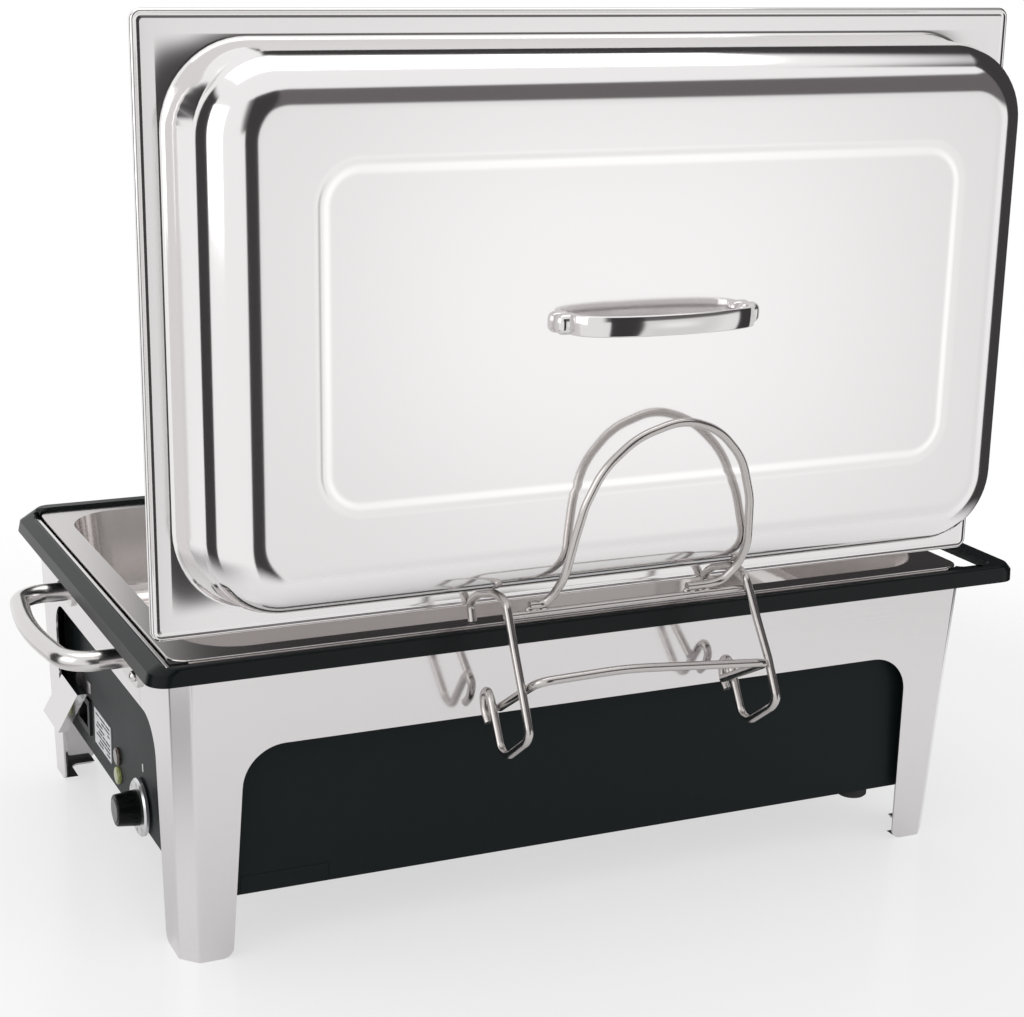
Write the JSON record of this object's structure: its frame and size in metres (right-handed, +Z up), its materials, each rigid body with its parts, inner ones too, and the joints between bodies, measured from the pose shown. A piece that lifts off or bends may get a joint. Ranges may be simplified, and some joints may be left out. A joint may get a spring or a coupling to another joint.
{
  "type": "electric food warmer tray",
  "caption": "Electric chafing dish: a steel stand with a black rim and heater housing, a drop-in food pan, and a lift-off domed lid parked upright in a wire lid holder.",
  "frame": {"origin": "middle of the whole outline on the floor; the stand centre is 4.86 mm towards +X and 34.32 mm towards +Y of it", "axes": "+X along the long side away from the controls, +Y across the stand away from the lid holder, +Z up"},
  "size_m": [0.6187, 0.4126, 0.5333],
  "materials": {
    "polished_steel": "polished stainless steel, softly brushed",
    "bright_steel": "mirror polished",
    "wire_steel": "polished wire",
    "black_plastic": "satin",
    "black_metal": "satin paint",
    "rubber": "matt",
    "knob_black": "satin",
    "dial_silver": "satin",
    "lamp_red": "clear coloured lens",
    "lamp_green": "clear coloured lens",
    "steel_plain": "plain"
  },
  "bodies": {
    "stand": {"near_side_panel": "polished_steel", "far_side_panel": "polished_steel", "control_end_panel": "polished_steel", "grip_end_panel": "polished_steel", "seam_straps": "steel_plain", "top_rim": "black_plastic", "rim_inlay": "bright_steel", "end_handle": "bright_steel", "handle_rivets": "bright_steel", "heater_housing": "black_metal", "housing_bottom_cover": "black_metal", "housing_brackets": "steel_plain", "housing_pads": "rubber", "heating_element": "steel_plain", "element_supports": "steel_plain", "thermostat_body": "black_plastic", "terminal_block": "black_plastic", "pilot_lamp_upper": "lamp_red", "pilot_lamp_lower": "lamp_green", "lamp_bodies": "black_plastic", "end_plate": "dial_silver", "power_inlet": "black_plastic", "inlet_hood": "bright_steel"},
    "knob": {"knob_grip": "knob_black", "knob_skirt": "dial_silver", "knob_insert": "dial_silver", "knob_shaft": "steel_plain"},
    "water_pan": {"water_pan": "bright_steel"},
    "food_pan": {"food_pan": "bright_steel"},
    "holder": {"holder_side_wire_left": "wire_steel", "holder_side_wire_right": "wire_steel", "holder_rod": "wire_steel", "holder_loop": "wire_steel", "holder_bail": "wire_steel"},
    "lid": {"lid": "bright_steel", "lid_handle": "bright_steel", "lid_handle_mounts": "bright_steel"}
  },
  "joints": [
    {"name": "knob_turn", "type": "hinge", "parent": "stand", "child": "knob", "pos_m": [-0.24674, -0.01168, 0.051], "axis": [1, 0, 0], "range_deg": [0, 270]},
    {"name": "water_pan_lift", "type": "slide", "parent": "stand", "child": "water_pan", "axis": [0, 0, 1], "range_m": [0, 0.15]},
    {"name": "food_pan_lift", "type": "slide", "parent": "water_pan", "child": "food_pan", "axis": [0, 0, 1], "range_m": [0, 0.12]},
    {"name": "holder_lift", "type": "slide", "parent": "food_pan", "child": "holder", "axis": [0, 0, 1], "range_m": [0, 0.12]},
    {"name": "lid_lift", "type": "slide", "parent": "holder", "child": "lid", "axis": [0, 0.0359, 0.9994], "range_m": [0, 0.3]}
  ]
}
